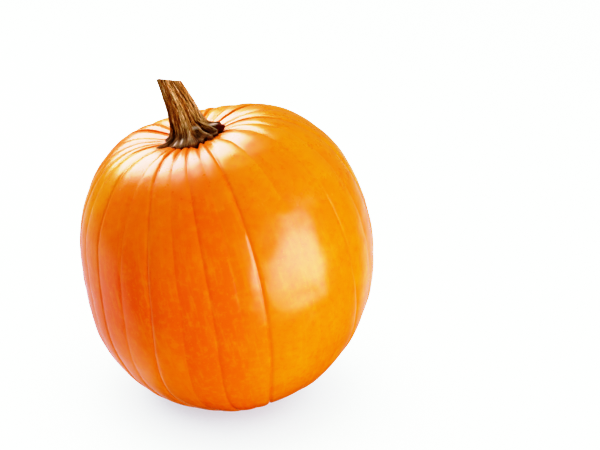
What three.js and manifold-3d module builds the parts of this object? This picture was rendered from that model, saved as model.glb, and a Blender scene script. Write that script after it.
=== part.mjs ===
import * as THREE from 'three';
import { mergeVertices } from 'three/addons/utils/BufferGeometryUtils.js';
import Module from 'manifold-3d';

const wasm = await Module();
wasm.setup();

// Millimetres, +Z up. The pumpkin is shaped upright about its own axis, then
// leans over toward -X and is pressed a little into the ground plane.
const RADIUS = 110;
const TOP_HEIGHT = 116;
const BOTTOM_HEIGHT = 113.5;
const TOP_POWER = 2.4;
const BOTTOM_POWER = 2.05;
const CROWN_DIP = 17;
const CROWN_SPREAD = 42;
const BLOSSOM_DIP = 4;
const BLOSSOM_SPREAD = 10;
const SCAR_HEIGHT = 2.2;
const SCAR_SPREAD = 5;
const BEND_LINEAR_X = 3.5;
const BEND_SQUARE_X = -5.5;
const BEND_SQUARE_Y = 3;
const LEAN_DEG = 15;

// Resting spot: how far the fruit is pressed down and how softly it rounds off.
const PRESS_DEPTH = 5;
const PRESS_BLEND = 1.5;

// Broad swellings (+) and flats (-): azimuth and elevation (degrees), height.
const SWELLINGS = [
  [-165, -17, 2.5],
  [167, 37, -2.2],
  [144, 57, 2.9],
  [93, 66, -3.3],
  [2, -10, -0.9],
  [12, 12, -1.3],
  [-10, -33, -1.5],
  [-30, -53, 0.9],
  [-75, -66, 0.6],
];
const SWELLING_SPREAD_DEG = 26;

// Grooves that run from crown to blossom end: azimuth at mid height, sway and
// bow of the run (all degrees), depth. Azimuth -90 is the front, 0 is +X.
const FRONT_GROOVES = [
  [-168, -2, -4, 0.8],
  [-157, -1, -5, 0.2],
  [-147.5, -9, -3, 1.0],
  [-134.5, -19, -5, 0.3],
  [-120.9, -19, -12.5, 1.0],
  [-108, -14, -10, 0.15],
  [-96, -9.5, -7, 0.6],
  [-85.5, -8, -5, 0.15],
  [-76.5, -7, -3.5, 1.4],
  [-57, -3, 2, 0.15],
  [-35.5, 2.5, 11, 0.6],
  [-20, 2, 6, 0.25],
];
const BACK_COUNT = 15;
const BACK_START = -7;
const BACK_STEP = 13.1;
const DEG = Math.PI / 180;

// Across one rib: the crease, its two shoulders and the crest.
const RIB_STOPS = [0, 0.12, 0.5, 0.88];
const CREASE_WIDTH = 1.25;
const CREASE_WIDTH_SHARE = 0.09;
const CREASE_CUT = 0.5;
const VALLEY_WIDTH = 8;
const VALLEY_WIDTH_SHARE = 0.28;
const VALLEY_CUT = 0.22;
const RIB_BULGE = 0.35;
const CROWN_BULGE_GAIN = 2.6;
const CROWN_CUT_FADE = 0.35;
const CROWN_RIB_RADIUS = 38;
const CROWN_RIB_SPREAD = 24;
const ROWS = 44;
const ROW_CROWDING = 0.08;

// Stem: a ridged woody column that flares into root-like prongs on the crown.
const STEM_LENGTH = 45.2;
const STEM_NECK = 7.5;
const STEM_TAPER = 0.155;
const STEM_BASE_X = -4;
const STEM_BASE_Y = 3;
const STEM_LEAN_X = -0.09;
const STEM_LEAN_Y = 0.14;
const STEM_BOW = 1.5;
const STEM_CUT_SLOPE_X = 0.34;
const STEM_CUT_SLOPE_Y = 0.38;
const STEM_SINK = 4;
const STEM_ROWS = 22;
const STEM_COLUMNS = 90;
const STEM_DISH = 1.6;
const SEAT_GAP = 0.35;

// The broad web at the foot of the stem, then its prongs: azimuth (degrees), reach
// from the axis, half width (degrees), height of the blunt toe, how thick it runs in.
const PRONGS = [
  [-80, 32, 44, 0.8, 3.2],
  [-144, 30, 8, 0.4, 2.6],
  [-127, 24, 8, 0.6, 2.6],
  [-111, 24, 7, 2, 2.6],
  [-96, 26, 7, 1, 3],
  [-80, 40, 9, 3, 3.4],
  [-58, 37, 9, 3, 3.6],
  [-43, 31, 9, 3.6, 5.2],
  [-25, 26, 10, 2.8, 5.2],
  [4, 23.5, 11, 1.8, 4],
  [58, 21, 11, 0.5, 3.6],
  [95, 28, 12, 2, 3.6],
  [132, 21, 12, 0.3, 3],
  [168, 19, 9, 0.3, 2.6],
];
const PRONG_BASE = 18;
const PRONG_FALL = 2.4;
const PRONG_ROUND = 1.35;
const RIDGE_LOW = 0.95;
const RIDGE_RISE = 0.1;
const RIDGE_FULL = 12;

// Round knob that ends the stout prong on the right.
const KNOB_AZIMUTH = -29;
const KNOB_HALF_WIDTH = 9.5;
const KNOB_HEIGHT = 3.4;
const KNOB_SIZE = 4.2;
const KNOB_SWELL = 6.5;

function bell(x) {
  return Math.exp(-x * x);
}

function smooth(from, to, x) {
  const t = Math.min(Math.max((x - from) / (to - from), 0), 1);
  return t * t * (3 - 2 * t);
}

function allGrooves() {
  const grooves = [...FRONT_GROOVES];
  for (let i = 0; i < BACK_COUNT; i += 1) {
    const azimuth = BACK_START + BACK_STEP * i + 2.2 * Math.sin(2.4 * i + 0.7);
    const depth = i % 2 === 0 ? 1.0 + 0.4 * Math.sin(1.9 * i) : 0.25;
    grooves.push([azimuth, 3 * Math.sin(1.7 * i), 4 * Math.cos(2.3 * i), depth]);
  }
  return grooves;
}

// Azimuth of a groove where the polar angle is theta, in degrees.
function grooveAzimuth([azimuth, sway, bow], theta) {
  const u = theta / (Math.PI / 2) - 1;
  return azimuth + (sway * u + bow * u * u) * (1 - smooth(0.3, 1, u));
}

// Radius and height of the plain body, without ribs or swellings.
function profile(theta) {
  const upper = Math.cos(theta) >= 0;
  const height = upper ? TOP_HEIGHT : BOTTOM_HEIGHT;
  const power = upper ? TOP_POWER : BOTTOM_POWER;
  const s = Math.abs(Math.sin(theta));
  const c = Math.abs(Math.cos(theta));
  const rho = ((s / RADIUS) ** power + (c / height) ** power) ** (-1 / power);
  const r = rho * s;
  if (upper) {
    return [r, rho * c - CROWN_DIP * bell(r / CROWN_SPREAD)];
  }
  const hollow = BLOSSOM_DIP * bell(r / BLOSSOM_SPREAD);
  const scar = SCAR_HEIGHT * bell(r / SCAR_SPREAD);
  return [r, -rho * c + hollow - scar];
}

// How far uneven growth lifts the skin in one direction.
function swelling(theta, phi) {
  let total = 0;
  for (const [azimuth, elevation, height] of SWELLINGS) {
    const polar = (90 - elevation) * DEG;
    const turn = Math.cos(phi - azimuth * DEG);
    const toward = Math.cos(theta) * Math.cos(polar) + Math.sin(theta) * Math.sin(polar) * turn;
    const away = Math.acos(Math.min(Math.max(toward, -1), 1)) / DEG;
    total += height * bell(away / SWELLING_SPREAD_DEG);
  }
  return total;
}

// Height of a rib above the plain body. share runs 0 to 1 from one groove to
// the next and gap is their distance. Each groove is a narrow crease in a broad
// valley. Ribs stand prouder round the crown and fade at both poles.
function ribRelief(share, gap, depthNear, depthFar, r, upper) {
  const crown = upper ? bell((r - CROWN_RIB_RADIUS) / CROWN_RIB_SPREAD) : 0;
  const crease = Math.min(CREASE_WIDTH, CREASE_WIDTH_SHARE * gap);
  const valley = Math.min(VALLEY_WIDTH, VALLEY_WIDTH_SHARE * gap);
  const cut = (depth, away) => (
    depth * (CREASE_CUT * bell(away / crease) + VALLEY_CUT * bell(away / valley))
  );
  const bulge = (1 + CROWN_BULGE_GAIN * crown) * RIB_BULGE * (4 * share * (1 - share) - 0.6);
  const cuts = cut(depthNear, share * gap) + cut(depthFar, (1 - share) * gap);
  return smooth(2, 30, r) * (bulge - (1 - CROWN_CUT_FADE * crown) * cuts);
}

// A point on the standing fruit, moved out along its normal by lift.
function fruitPoint(theta, phi, lift) {
  const step = 0.002;
  const [r, w] = profile(theta);
  const [r0, w0] = profile(Math.max(theta - step, 1e-6));
  const [r1, w1] = profile(Math.min(theta + step, Math.PI - 1e-6));
  const length = Math.hypot(r1 - r0, w1 - w0);
  const out = lift + swelling(theta, phi);
  const outR = r + (out * (w0 - w1)) / length;
  const outW = w + (out * (r1 - r0)) / length;
  const v = outW / TOP_HEIGHT;
  const x = outR * Math.cos(phi) + BEND_LINEAR_X * v + BEND_SQUARE_X * v * v;
  const y = outR * Math.sin(phi) + BEND_SQUARE_Y * v * v;
  return new THREE.Vector3(x, y, outW);
}

function rowAngle(row) {
  const t = row / ROWS;
  return Math.PI * (t - (ROW_CROWDING * Math.sin(2 * Math.PI * t)) / 2);
}

// Closed geometry from rings of points, with a single point at each end.
function closedRings(first, rings, last) {
  const count = rings[0].length;
  const points = [first, ...rings.flat(), last];
  const index = [];
  const at = (ring, i) => 1 + ring * count + (i % count);
  for (let i = 0; i < count; i += 1) {
    index.push(0, at(0, i), at(0, i + 1));
    index.push(points.length - 1, at(rings.length - 1, i + 1), at(rings.length - 1, i));
    for (let ring = 0; ring < rings.length - 1; ring += 1) {
      const a = at(ring, i);
      const b = at(ring, i + 1);
      const c = at(ring + 1, i);
      const d = at(ring + 1, i + 1);
      index.push(a, c, d, a, d, b);
    }
  }
  const geometry = new THREE.BufferGeometry().setFromPoints(points);
  geometry.setIndex(index);
  return geometry;
}

// The ribbed fruit, standing upright, with its skin moved out by grow.
function fruitGeometry(grow) {
  const grooves = allGrooves();
  const rings = [];
  for (let row = 1; row < ROWS; row += 1) {
    const theta = rowAngle(row);
    const ring = [];
    grooves.forEach((groove, i) => {
      const next = grooves[(i + 1) % grooves.length];
      const wrap = i === grooves.length - 1 ? 360 : 0;
      const from = grooveAzimuth(groove, theta);
      const to = grooveAzimuth(next, theta) + wrap;
      for (const share of RIB_STOPS) {
        const phi = (from + (to - from) * share) * DEG;
        const [r] = profile(theta);
        const gap = (to - from) * DEG * r;
        const lift = ribRelief(share, gap, groove[3], next[3], r, theta < Math.PI / 2);
        ring.push(fruitPoint(theta, phi, lift + grow));
      }
    });
    rings.push(ring);
  }
  return closedRings(fruitPoint(0, 0, grow), rings, fruitPoint(Math.PI, 0, grow));
}

function degreesFrom(phi, azimuth) {
  return Math.abs(((phi / DEG - azimuth + 540) % 360) - 180);
}

// Reach of the foot at an azimuth, the height of its toe and its thickness.
function prongAt(phi) {
  let reach = PRONG_BASE;
  let toe = 0;
  let fall = PRONG_FALL;
  for (const [azimuth, tip, width, height, thick] of PRONGS) {
    const weight = bell(degreesFrom(phi, azimuth) / width);
    reach = Math.max(reach, PRONG_BASE + (tip - PRONG_BASE) * weight);
    toe = Math.max(toe, height * weight);
    fall = Math.max(fall, PRONG_FALL + (thick - PRONG_FALL) * weight);
  }
  return { reach, toe, fall };
}

// Radius of the stem: a tapered column whose ridges run out into the prongs.
function stemRadius(height, phi) {
  const { reach, toe, fall } = prongAt(phi);
  const ridge = RIDGE_LOW + RIDGE_RISE * Math.min((reach - PRONG_BASE) / RIDGE_FULL, 1);
  const column = (STEM_NECK + STEM_TAPER * Math.max(STEM_LENGTH - height, 0)) * ridge;
  const above = Math.max(height - toe, 0) / fall;
  const foot = (reach - column) * Math.exp(-(above ** PRONG_ROUND));
  const across = degreesFrom(phi, KNOB_AZIMUTH) / KNOB_HALF_WIDTH;
  const up = (height - KNOB_HEIGHT) / KNOB_SIZE;
  const knob = Math.sqrt(Math.max(1 - across * across - up * up, 0));
  return column + foot + KNOB_SWELL * knob;
}

// How far the floor of the crown's hollow has risen at a distance from its middle.
function crownRise(radius) {
  const shoulder = TOP_HEIGHT * (1 - (radius / RADIUS) ** TOP_POWER) ** (1 / TOP_POWER);
  return shoulder - TOP_HEIGHT + CROWN_DIP * (1 - bell(radius / CROWN_SPREAD));
}

// A point on the side of the stem, upright frame, height above the crown's skin.
function stemPoint(height, phi, radius) {
  const seat = TOP_HEIGHT - CROWN_DIP;
  const t = Math.min(Math.max(height / STEM_LENGTH, 0), 1);
  const axisX = STEM_BASE_X + STEM_LEAN_X * height + STEM_BOW * Math.sin(Math.PI * t);
  const axisY = STEM_BASE_Y + STEM_LEAN_Y * height;
  const x = axisX + radius * Math.cos(phi);
  const y = axisY + radius * Math.sin(phi);
  return new THREE.Vector3(x, y, seat + height + crownRise(radius));
}

// Height of the slanted cut at the top of the stem.
function cutHeight(phi, radius) {
  const slope = STEM_CUT_SLOPE_X * Math.cos(phi) + STEM_CUT_SLOPE_Y * Math.sin(phi);
  return STEM_LENGTH - radius * slope;
}

function stemGeometry() {
  const rings = [];
  const dishShares = [0.55, 0.85];
  for (const share of dishShares) {
    const ring = [];
    for (let i = 0; i < STEM_COLUMNS; i += 1) {
      const phi = (i / STEM_COLUMNS) * 2 * Math.PI;
      const radius = share * stemRadius(STEM_LENGTH, phi);
      const height = cutHeight(phi, radius) - STEM_DISH * (1 - share);
      ring.push(stemPoint(height, phi, radius));
    }
    rings.push(ring);
  }
  for (let row = 0; row <= STEM_ROWS; row += 1) {
    const ring = [];
    for (let i = 0; i < STEM_COLUMNS; i += 1) {
      const phi = (i / STEM_COLUMNS) * 2 * Math.PI;
      const rim = cutHeight(phi, stemRadius(STEM_LENGTH, phi));
      const down = (row / STEM_ROWS) ** 0.75;
      const height = rim - (rim + STEM_SINK) * down;
      ring.push(stemPoint(height, phi, stemRadius(height, phi)));
    }
    rings.push(ring);
  }
  const top = stemPoint(STEM_LENGTH - STEM_DISH, 0, 0);
  return closedRings(top, rings, stemPoint(-STEM_SINK, 0, 0));
}

function toManifold(geometry) {
  const clean = geometry.clone();
  clean.deleteAttribute('normal');
  clean.deleteAttribute('uv');
  const merged = mergeVertices(clean, 1e-4);
  return new wasm.Manifold(new wasm.Mesh({
    numProp: 3,
    vertProperties: new Float32Array(merged.attributes.position.array),
    triVerts: new Uint32Array(merged.index.array),
  }));
}

function fromManifold(solid) {
  const mesh = solid.getMesh();
  const geometry = new THREE.BufferGeometry();
  geometry.setAttribute('position', new THREE.BufferAttribute(mesh.vertProperties, 3));
  geometry.setIndex(new THREE.BufferAttribute(mesh.triVerts, 1));
  return geometry;
}

// Lean the upright shape over toward -X.
function lean(geometry) {
  return geometry.rotateY(-LEAN_DEG * DEG);
}

// Flatten whatever lies below the ground height, rounding into the flat.
function pressDown(geometry, ground) {
  const position = geometry.attributes.position;
  for (let i = 0; i < position.count; i += 1) {
    const z = position.getZ(i) - ground;
    let flat = z;
    if (z < -PRESS_BLEND) {
      flat = 0;
    } else if (z < PRESS_BLEND) {
      flat = (z + PRESS_BLEND) ** 2 / (4 * PRESS_BLEND);
    }
    position.setZ(i, flat);
  }
}

function node(name, geometry, color, roughness) {
  geometry.computeVertexNormals();
  geometry.computeBoundingBox();
  const material = new THREE.MeshStandardMaterial({ color, roughness, metalness: 0 });
  const mesh = new THREE.Mesh(geometry, material);
  mesh.name = name;
  return mesh;
}

function buildPumpkin() {
  const seatCutter = toManifold(fruitGeometry(SEAT_GAP));
  const stem = lean(fromManifold(toManifold(stemGeometry()).subtract(seatCutter)));
  const fruit = lean(fruitGeometry(0));
  fruit.computeBoundingBox();
  const ground = fruit.boundingBox.min.z + PRESS_DEPTH;
  pressDown(fruit, ground);
  stem.translate(0, 0, -ground);

  const group = new THREE.Group();
  group.name = 'pumpkin';
  group.add(node('fruit', fruit, 0xf08a10, 0.3));
  group.add(node('stem', stem, 0x8a6a42, 0.85));
  const box = new THREE.Box3().setFromObject(group);
  const centre = box.getCenter(new THREE.Vector3());
  for (const mesh of group.children) {
    mesh.geometry.translate(-centre.x, -centre.y, -box.min.z);
  }
  return group;
}

export default buildPumpkin();
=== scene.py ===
"""A whole pumpkin with its dry stem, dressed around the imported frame."""

import math

import bpy
import numpy as np
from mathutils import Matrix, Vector


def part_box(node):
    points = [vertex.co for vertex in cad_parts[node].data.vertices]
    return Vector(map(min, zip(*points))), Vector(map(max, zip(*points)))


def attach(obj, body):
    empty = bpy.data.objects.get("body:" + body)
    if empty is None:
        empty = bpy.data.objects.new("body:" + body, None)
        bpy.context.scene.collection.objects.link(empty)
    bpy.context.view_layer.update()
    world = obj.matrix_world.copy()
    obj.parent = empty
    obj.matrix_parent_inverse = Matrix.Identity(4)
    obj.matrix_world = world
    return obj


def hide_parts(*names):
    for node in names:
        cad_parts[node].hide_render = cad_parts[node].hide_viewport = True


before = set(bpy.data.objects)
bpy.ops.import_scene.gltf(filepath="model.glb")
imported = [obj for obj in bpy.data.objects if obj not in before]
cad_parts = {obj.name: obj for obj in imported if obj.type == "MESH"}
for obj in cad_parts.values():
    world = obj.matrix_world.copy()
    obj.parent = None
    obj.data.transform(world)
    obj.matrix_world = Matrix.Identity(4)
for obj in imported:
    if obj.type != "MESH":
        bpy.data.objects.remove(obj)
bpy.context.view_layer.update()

MM = 0.001
TURN = 2 * math.pi

# ---------------------------------------------------------------- fruit: body
# Millimetres, as in the part's source. The pumpkin is shaped upright about its
# own axis, then leans over toward -X and is pressed a little into the ground.
RADIUS = 110.0
TOP_HEIGHT = 116.0
BOTTOM_HEIGHT = 113.5
TOP_POWER = 2.4
BOTTOM_POWER = 2.05
CROWN_DIP = 17.0
CROWN_SPREAD = 42.0
BLOSSOM_DIP = 4.0
BLOSSOM_SPREAD = 10.0
SCAR_HEIGHT = 2.2
SCAR_SPREAD = 5.0
BEND_LINEAR_X = 3.5
BEND_SQUARE_X = -5.5
BEND_SQUARE_Y = 3.0
LEAN = math.radians(15)
PRESS_DEPTH = 5.0
PRESS_BLEND = 1.5

# Broad swellings (+) and flats (-): azimuth and elevation (degrees), height.
SWELLINGS = [
    (-165, -17, 2.5),
    (167, 37, -2.2),
    (144, 57, 2.9),
    (93, 66, -3.3),
    (2, -10, -0.9),
    (12, 12, -1.3),
    (-10, -33, -1.5),
    (-30, -53, 0.9),
    (-75, -66, 0.6),
]
SWELLING_SPREAD = math.radians(26)

# ---------------------------------------------------------------- fruit: ribs
# Grooves from crown to blossom end: azimuth at mid height, sway and bow of the
# run (degrees), depth. Azimuth -90 is the front, 0 is +X.
FRONT_GROOVES = [
    (-168, -2, -4, 0.8),
    (-157, -1, -5, 0.2),
    (-147.5, -9, -3, 1.0),
    (-134.5, -19, -5, 0.3),
    (-120.9, -19, -12.5, 1.0),
    (-108, -14, -10, 0.15),
    (-96, -9.5, -7, 0.6),
    (-85.5, -8, -5, 0.15),
    (-76.5, -7, -3.5, 1.5),
    (-57, -3, 2, 0.15),
    (-35.5, 2.5, 11, 0.6),
    (-20, 2, 6, 0.25),
]
# Grooves at the back: how many, the first azimuth and the step to the next
# (degrees), then how much their place, sway, bow and depth vary.
BACK_COUNT = 15
BACK_START = -7.0
BACK_STEP = 13.1
BACK_SCATTER = 2.2
BACK_SWAY = 3.0
BACK_BOW = 4.0
BACK_DEEP = 1.0
BACK_DEEP_CHANGE = 0.4
BACK_SHALLOW = 0.25
# Sway and bow fade out between these shares of the way from mid height down.
RUN_FADE = (0.3, 1.0)

# Each groove is a narrow crease in a broad valley. Their half widths are in
# millimetres, or a share of the rib where that is less. A rib's crest stands
# proud of the plain body, and the share RIB_SINK of its bulge lies below it.
CREASE_WIDTH = 1.25
CREASE_WIDTH_SHARE = 0.09
CREASE_CUT = 0.5
VALLEY_WIDTH = 8.0
VALLEY_WIDTH_SHARE = 0.28
VALLEY_CUT = 0.22
RIB_BULGE = 0.35
RIB_SINK = 0.6
# Ribs stand prouder and grooves are shallower round the crown, and both fade
# toward the poles between these distances from the axis.
CROWN_BULGE_GAIN = 2.6
CROWN_CUT_FADE = 0.5
CROWN_RIB_RADIUS = 38.0
CROWN_RIB_SPREAD = 24.0
RIB_FADE = (2, 30)

# Across one rib: dense near the creases, open over the crest.
RIB_STOPS = (
    0, 0.025, 0.055, 0.09, 0.14, 0.21, 0.31, 0.43,
    0.56, 0.68, 0.78, 0.86, 0.91, 0.945, 0.975,
)
FRUIT_ROWS = 240
ROW_CROWDING = 0.05

# ---------------------------------------------------------------- fruit: skin
# A field of unevenness is a sum of waves, whose lengths vary by these factors.
WOBBLE_WAVES = 14
WOBBLE_LENGTHS = (0.7, 1.6)
# Unevenness of the skin: height, wavelength, seed.
SKIN_WAVES = [(0.45, 60, 11), (0.11, 17, 12), (0.03, 8, 13)]
# Pleats round the crown and hair-fine lines all round: height, how many, seed.
CROWN_PLEATS = (0.28, 96, 5)
PLEAT_RADIUS = 30.0
PLEAT_SPREAD = 28.0
PLEAT_FADE = (4, 20)
HAIR_LINES = (0.008, 240, 6)

# How golden (+) or red (-) the skin is between each front groove and the next,
# how much that varies at the back, and where it fades toward the poles.
FRONT_TONES = (0.1, 0.1, 0.0, 0.1, 0.1, -0.15, -0.3, -0.05, 0.3, 0.1, 0.1, 0.0)
BACK_TONE = 0.12
TONE_FADE = (10, 60)
# The skin is painted golden toward this side and the top, where the lamps light it,
# and redder away from them: painted light and shade. So are the patches: where they
# are on the unit body, their size, and how golden they are, plus as painted light
# and minus as painted shade.
PAINTED_LIGHT_SIDE = (0.3, 0.45, 0.0)
PAINTED_LIGHT_TOP = 0.65
PAINTED_LIGHT_PATCHES = [
    ((-0.88, -0.2, 0.5), 0.45, 0.8),
    ((-0.72, -0.68, 0.08), 0.22, -0.45),
    ((-0.2, -0.97, 0.05), 0.25, -0.35),
    ((-0.5, -0.65, -0.55), 0.45, 0.45),
    ((0.25, -0.85, -0.45), 0.3, 0.25),
    ((0.74, -0.66, -0.05), 0.45, 0.45),
]
# Painted shade along a crease, darker and redder: half width, most, and how it fades at the crown.
CREASE_SHADE_WIDTH = 1.7
CREASE_SHADE_MOST = 1.6
CREASE_SHADE_CROWN_FADE = 0.75
CREASE_SHADE_CROWN_RADIUS = 30.0
# Streaks run along the ribs: how fast they change on the way down.
SKIN_FLOW_STRETCH = 0.12

# ---------------------------------------------------------------- stem: column
# A little shorter than the solid's, so that the chipped rim stays inside it.
STEM_LENGTH = 44.4
STEM_NECK = 7.5
STEM_TAPER = 0.155
STEM_BASE = (-4.0, 3.0)
STEM_LEAN_X = -0.09
STEM_LEAN_Y = 0.14
STEM_BOW = 1.5
STEM_CUT_SLOPE_X = 0.34
STEM_CUT_SLOPE_Y = 0.38
STEM_SINK = 4.0
STEM_ROWS = 190
STEM_ROW_POWER = 0.75
STEM_COLUMNS = 420
RIDGE_LOW = 0.95
RIDGE_RISE = 0.1
RIDGE_FULL = 12.0

# Furrows and fibres round the stem: how many, seed, sharpness of the furrows.
# The middle and fine ones pass from a low to a high pattern between two heights.
FURROWS_COARSE = (14, 41, 0.6)
FURROWS_LOW = (53, 43, 0.7)
FURROWS_HIGH = (47, 44, 0.7)
FIBRES_LOW = (117, 45)
FIBRES_HIGH = (109, 46)
FIBRE_CHANGE = (5, 40)
FIBRE_TWIST = 0.0006
COARSE_DEPTH = 0.9
MIDDLE_DEPTH = 0.85
FINE_DEPTH = 0.2
STEM_FLOW_STRETCH = 0.009

# ---------------------------------------------------------------- stem: cut end
STEM_DISH = 1.6
CUT_SHARES = (0.08, 0.2, 0.32, 0.44, 0.55, 0.65, 0.74, 0.82, 0.88, 0.93, 0.97)
# Chips along the rim: height, how many, seed. Inward they die out by a power.
RIM_CHIPS = [(0.2, 31, 51), (0.12, 90, 52)]
RIM_CHIP_POWER = 6
RIM_ROUND = 0.35
RIM_ROUND_HEIGHT = 0.9
# The pith stands up by this share of the dish, and is this share of the radius.
PITH_RISE = 0.3
PITH_SHARE = 0.3
PITH_TONE_SHARE = 0.22
CUT_GRAIN = 0.12
CUT_GRAIN_COUNT = 60
# Dark rays across the cut end, and its dark bark ring.
RAY_TONE = 0.45
RAYS = (44, 71)
RAY_RISE = (0.2, 0.8)
BARK_TONE = 0.6
BARK_RISE = (0.85, 1)
CUT_MIDDLE_FLOW = (0, 0, 0.5)

# ---------------------------------------------------------------- stem: foot
# The broad web at the foot, then the prongs: azimuth, reach, half width
# (degrees), toe height, and how high it stays thick as it runs in to the column.
PRONGS = [
    (-80, 32, 44, 0.8, 3.2),
    (-144, 30, 8, 0.4, 2.6),
    (-127, 24, 8, 0.6, 2.6),
    (-111, 24, 7, 2.0, 2.6),
    (-96, 26, 7, 1.0, 3.0),
    (-80, 40, 9, 3.0, 3.4),
    (-58, 37, 9, 3.0, 3.6),
    (-43, 31, 9, 3.6, 5.2),
    (-25, 26, 10, 2.8, 5.2),
    (4, 23.5, 11, 1.8, 4.0),
    (58, 21, 11, 0.5, 3.6),
    (95, 28, 12, 2.0, 3.6),
    (132, 21, 12, 0.3, 3.0),
    (168, 19, 9, 0.3, 2.6),
]
PRONG_BASE = 18.0
PRONG_FALL = 2.4
PRONG_ROUND = 1.35
# Round knob that ends the stout prong on the right. It darkens outward between
# the two radii of KNOB_TINT.
KNOB_AZIMUTH = -29.0
KNOB_HALF_WIDTH = 9.5
KNOB_HEIGHT = 3.4
KNOB_SIZE = 4.2
KNOB_SWELL = 6.5
KNOB_TINT = (23, 28)
# Lumps, hollows and marks low on the stem: azimuth, height, half width (degrees), half
# # height, lift, and how pale (+) or dark (-) it is painted there. The dark is painted shade
# # in hollows and under the front of the foot; the pale is partly pale spots of the wood and
# # partly painted highlight on the tops of lumps.
STEM_SCARS = [
    (-112, 3.0, 5, 1.6, 1.1, 0.9),
    (-101, 3.6, 4, 1.8, 1.0, 1.0),
    (-86, 4.5, 4, 1.5, 0.6, 0.5),
    (-64, 9.5, 11, 1.8, 1.5, 0.8),
    (-51, 3.0, 5, 2.2, -2.2, -0.9),
    (-49, 9.0, 8, 3.0, 1.8, 0.0),
    (-47, 2.0, 5, 1.3, 0.8, 1.0),
    (-29, 6.6, 7, 1.1, 0.6, 0.9),
    (-36, 8.5, 7, 3.5, 2.4, 0.15),
    (-76, 1.0, 11, 2.2, 0.0, -0.55),
]
# Toward the foot the fibres grow weaker and lumps stronger.
FOOT_HEIGHT = 7.0
FOOT_FIBRE_LOSS = 0.3
LUMP_WAVELENGTH = 9
LUMP_SEED = 61
LUMP_SIZE = 0.15
FOOT_LUMP_SIZE = 0.7


# ---------------------------------------------------------------- small maths
def bell(x):
    """1 at zero, dying out smoothly on both sides."""
    return np.exp(-x * x)


def smooth(low, high, x):
    """Pass smoothly from 0 to 1 while x goes from low to high."""
    t = np.clip((x - low) / (high - low), 0, 1)
    return t * t * (3 - 2 * t)


def wobble(points, wavelength, seed):
    """A smooth random field about -1 to 1, from seeded plane waves."""
    rng = np.random.default_rng(seed)
    total = np.zeros(points.shape[:-1])
    for _ in range(WOBBLE_WAVES):
        direction = rng.normal(size=3)
        direction /= np.linalg.norm(direction)
        length = wavelength * rng.uniform(*WOBBLE_LENGTHS)
        phase = rng.uniform(0, TURN)
        total += np.sin(points @ direction * (TURN / length) + phase)
    return total / math.sqrt(WOBBLE_WAVES)


def ring_noise(turn, count, seed):
    """Smooth random values round a circle; turn runs 0 to 1."""
    values = np.random.default_rng(seed).uniform(-1, 1, count)
    x = (turn % 1.0) * count
    before = np.floor(x).astype(int)
    t = x - before
    t = t * t * (3 - 2 * t)
    return values[before % count] * (1 - t) + values[(before + 1) % count] * t


def degrees_from(phi, azimuth):
    """How far apart two azimuths are, the shorter way round."""
    return np.abs((np.degrees(phi) - azimuth + 540) % 360 - 180)


# ---------------------------------------------------------------- fruit shape
def all_grooves():
    """The front grooves, then those at the back, varied by sines of their number."""
    grooves = list(FRONT_GROOVES)
    for i in range(BACK_COUNT):
        azimuth = BACK_START + BACK_STEP * i + BACK_SCATTER * math.sin(2.4 * i + 0.7)
        sway = BACK_SWAY * math.sin(1.7 * i)
        bow = BACK_BOW * math.cos(2.3 * i)
        deep = BACK_DEEP + BACK_DEEP_CHANGE * math.sin(1.9 * i)
        grooves.append((azimuth, sway, bow, deep if i % 2 == 0 else BACK_SHALLOW))
    return np.array(grooves)


def profile(theta):
    """Radius and height of the plain body at a polar angle."""
    upper = np.cos(theta) >= 0
    height = np.where(upper, TOP_HEIGHT, BOTTOM_HEIGHT)
    power = np.where(upper, TOP_POWER, BOTTOM_POWER)
    sine = np.abs(np.sin(theta))
    cosine = np.abs(np.cos(theta))
    rho = ((sine / RADIUS) ** power + (cosine / height) ** power) ** (-1 / power)
    r = rho * sine
    top = rho * cosine - CROWN_DIP * bell(r / CROWN_SPREAD)
    scar = SCAR_HEIGHT * bell(r / SCAR_SPREAD)
    bottom = -rho * cosine + BLOSSOM_DIP * bell(r / BLOSSOM_SPREAD) - scar
    return r, np.where(upper, top, bottom)


def swelling(theta, phi):
    """How far the uneven growth of the fruit lifts its skin, in millimetres."""
    total = np.zeros(np.shape(theta))
    for azimuth, elevation, height in SWELLINGS:
        polar = math.radians(90 - elevation)
        turn = np.cos(phi - math.radians(azimuth))
        toward = np.cos(theta) * math.cos(polar) + np.sin(theta) * math.sin(polar) * turn
        total = total + height * bell(np.arccos(np.clip(toward, -1, 1)) / SWELLING_SPREAD)
    return total


def fruit_point(theta, phi, lift):
    """Points on the standing fruit, moved out along their normals by lift."""
    step = 0.002
    pole = 1e-6
    lift = lift + swelling(theta, phi)
    r, w = profile(theta)
    r0, w0 = profile(np.maximum(theta - step, pole))
    r1, w1 = profile(np.minimum(theta + step, math.pi - pole))
    length = np.hypot(r1 - r0, w1 - w0)
    out_r = r + lift * (w0 - w1) / length
    out_w = w + lift * (r1 - r0) / length
    v = out_w / TOP_HEIGHT
    x = out_r * np.cos(phi) + BEND_LINEAR_X * v + BEND_SQUARE_X * v * v
    y = out_r * np.sin(phi) + BEND_SQUARE_Y * v * v
    return np.stack([x, y, out_w], -1)


def fruit_grid(grooves, share):
    """Angles of the grid's points by row, rib and stop, and each rib's width."""
    t = np.arange(1, FRUIT_ROWS) / FRUIT_ROWS
    theta_row = math.pi * (t - ROW_CROWDING * np.sin(TURN * t) / 2)
    u = theta_row / (math.pi / 2) - 1
    fade = 1 - smooth(*RUN_FADE, u)
    run = grooves[:, 1] * u[:, None] + grooves[:, 2] * (u * u)[:, None]
    start = grooves[:, 0] + run * fade[:, None]
    end = np.roll(start, -1, axis=1)
    end[:, -1] += 360
    width = (end - start)[:, :, None]
    phi = np.radians(start[:, :, None] + width * share)
    theta = np.broadcast_to(theta_row[:, None, None], phi.shape)
    return theta, phi, np.radians(width)


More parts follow.
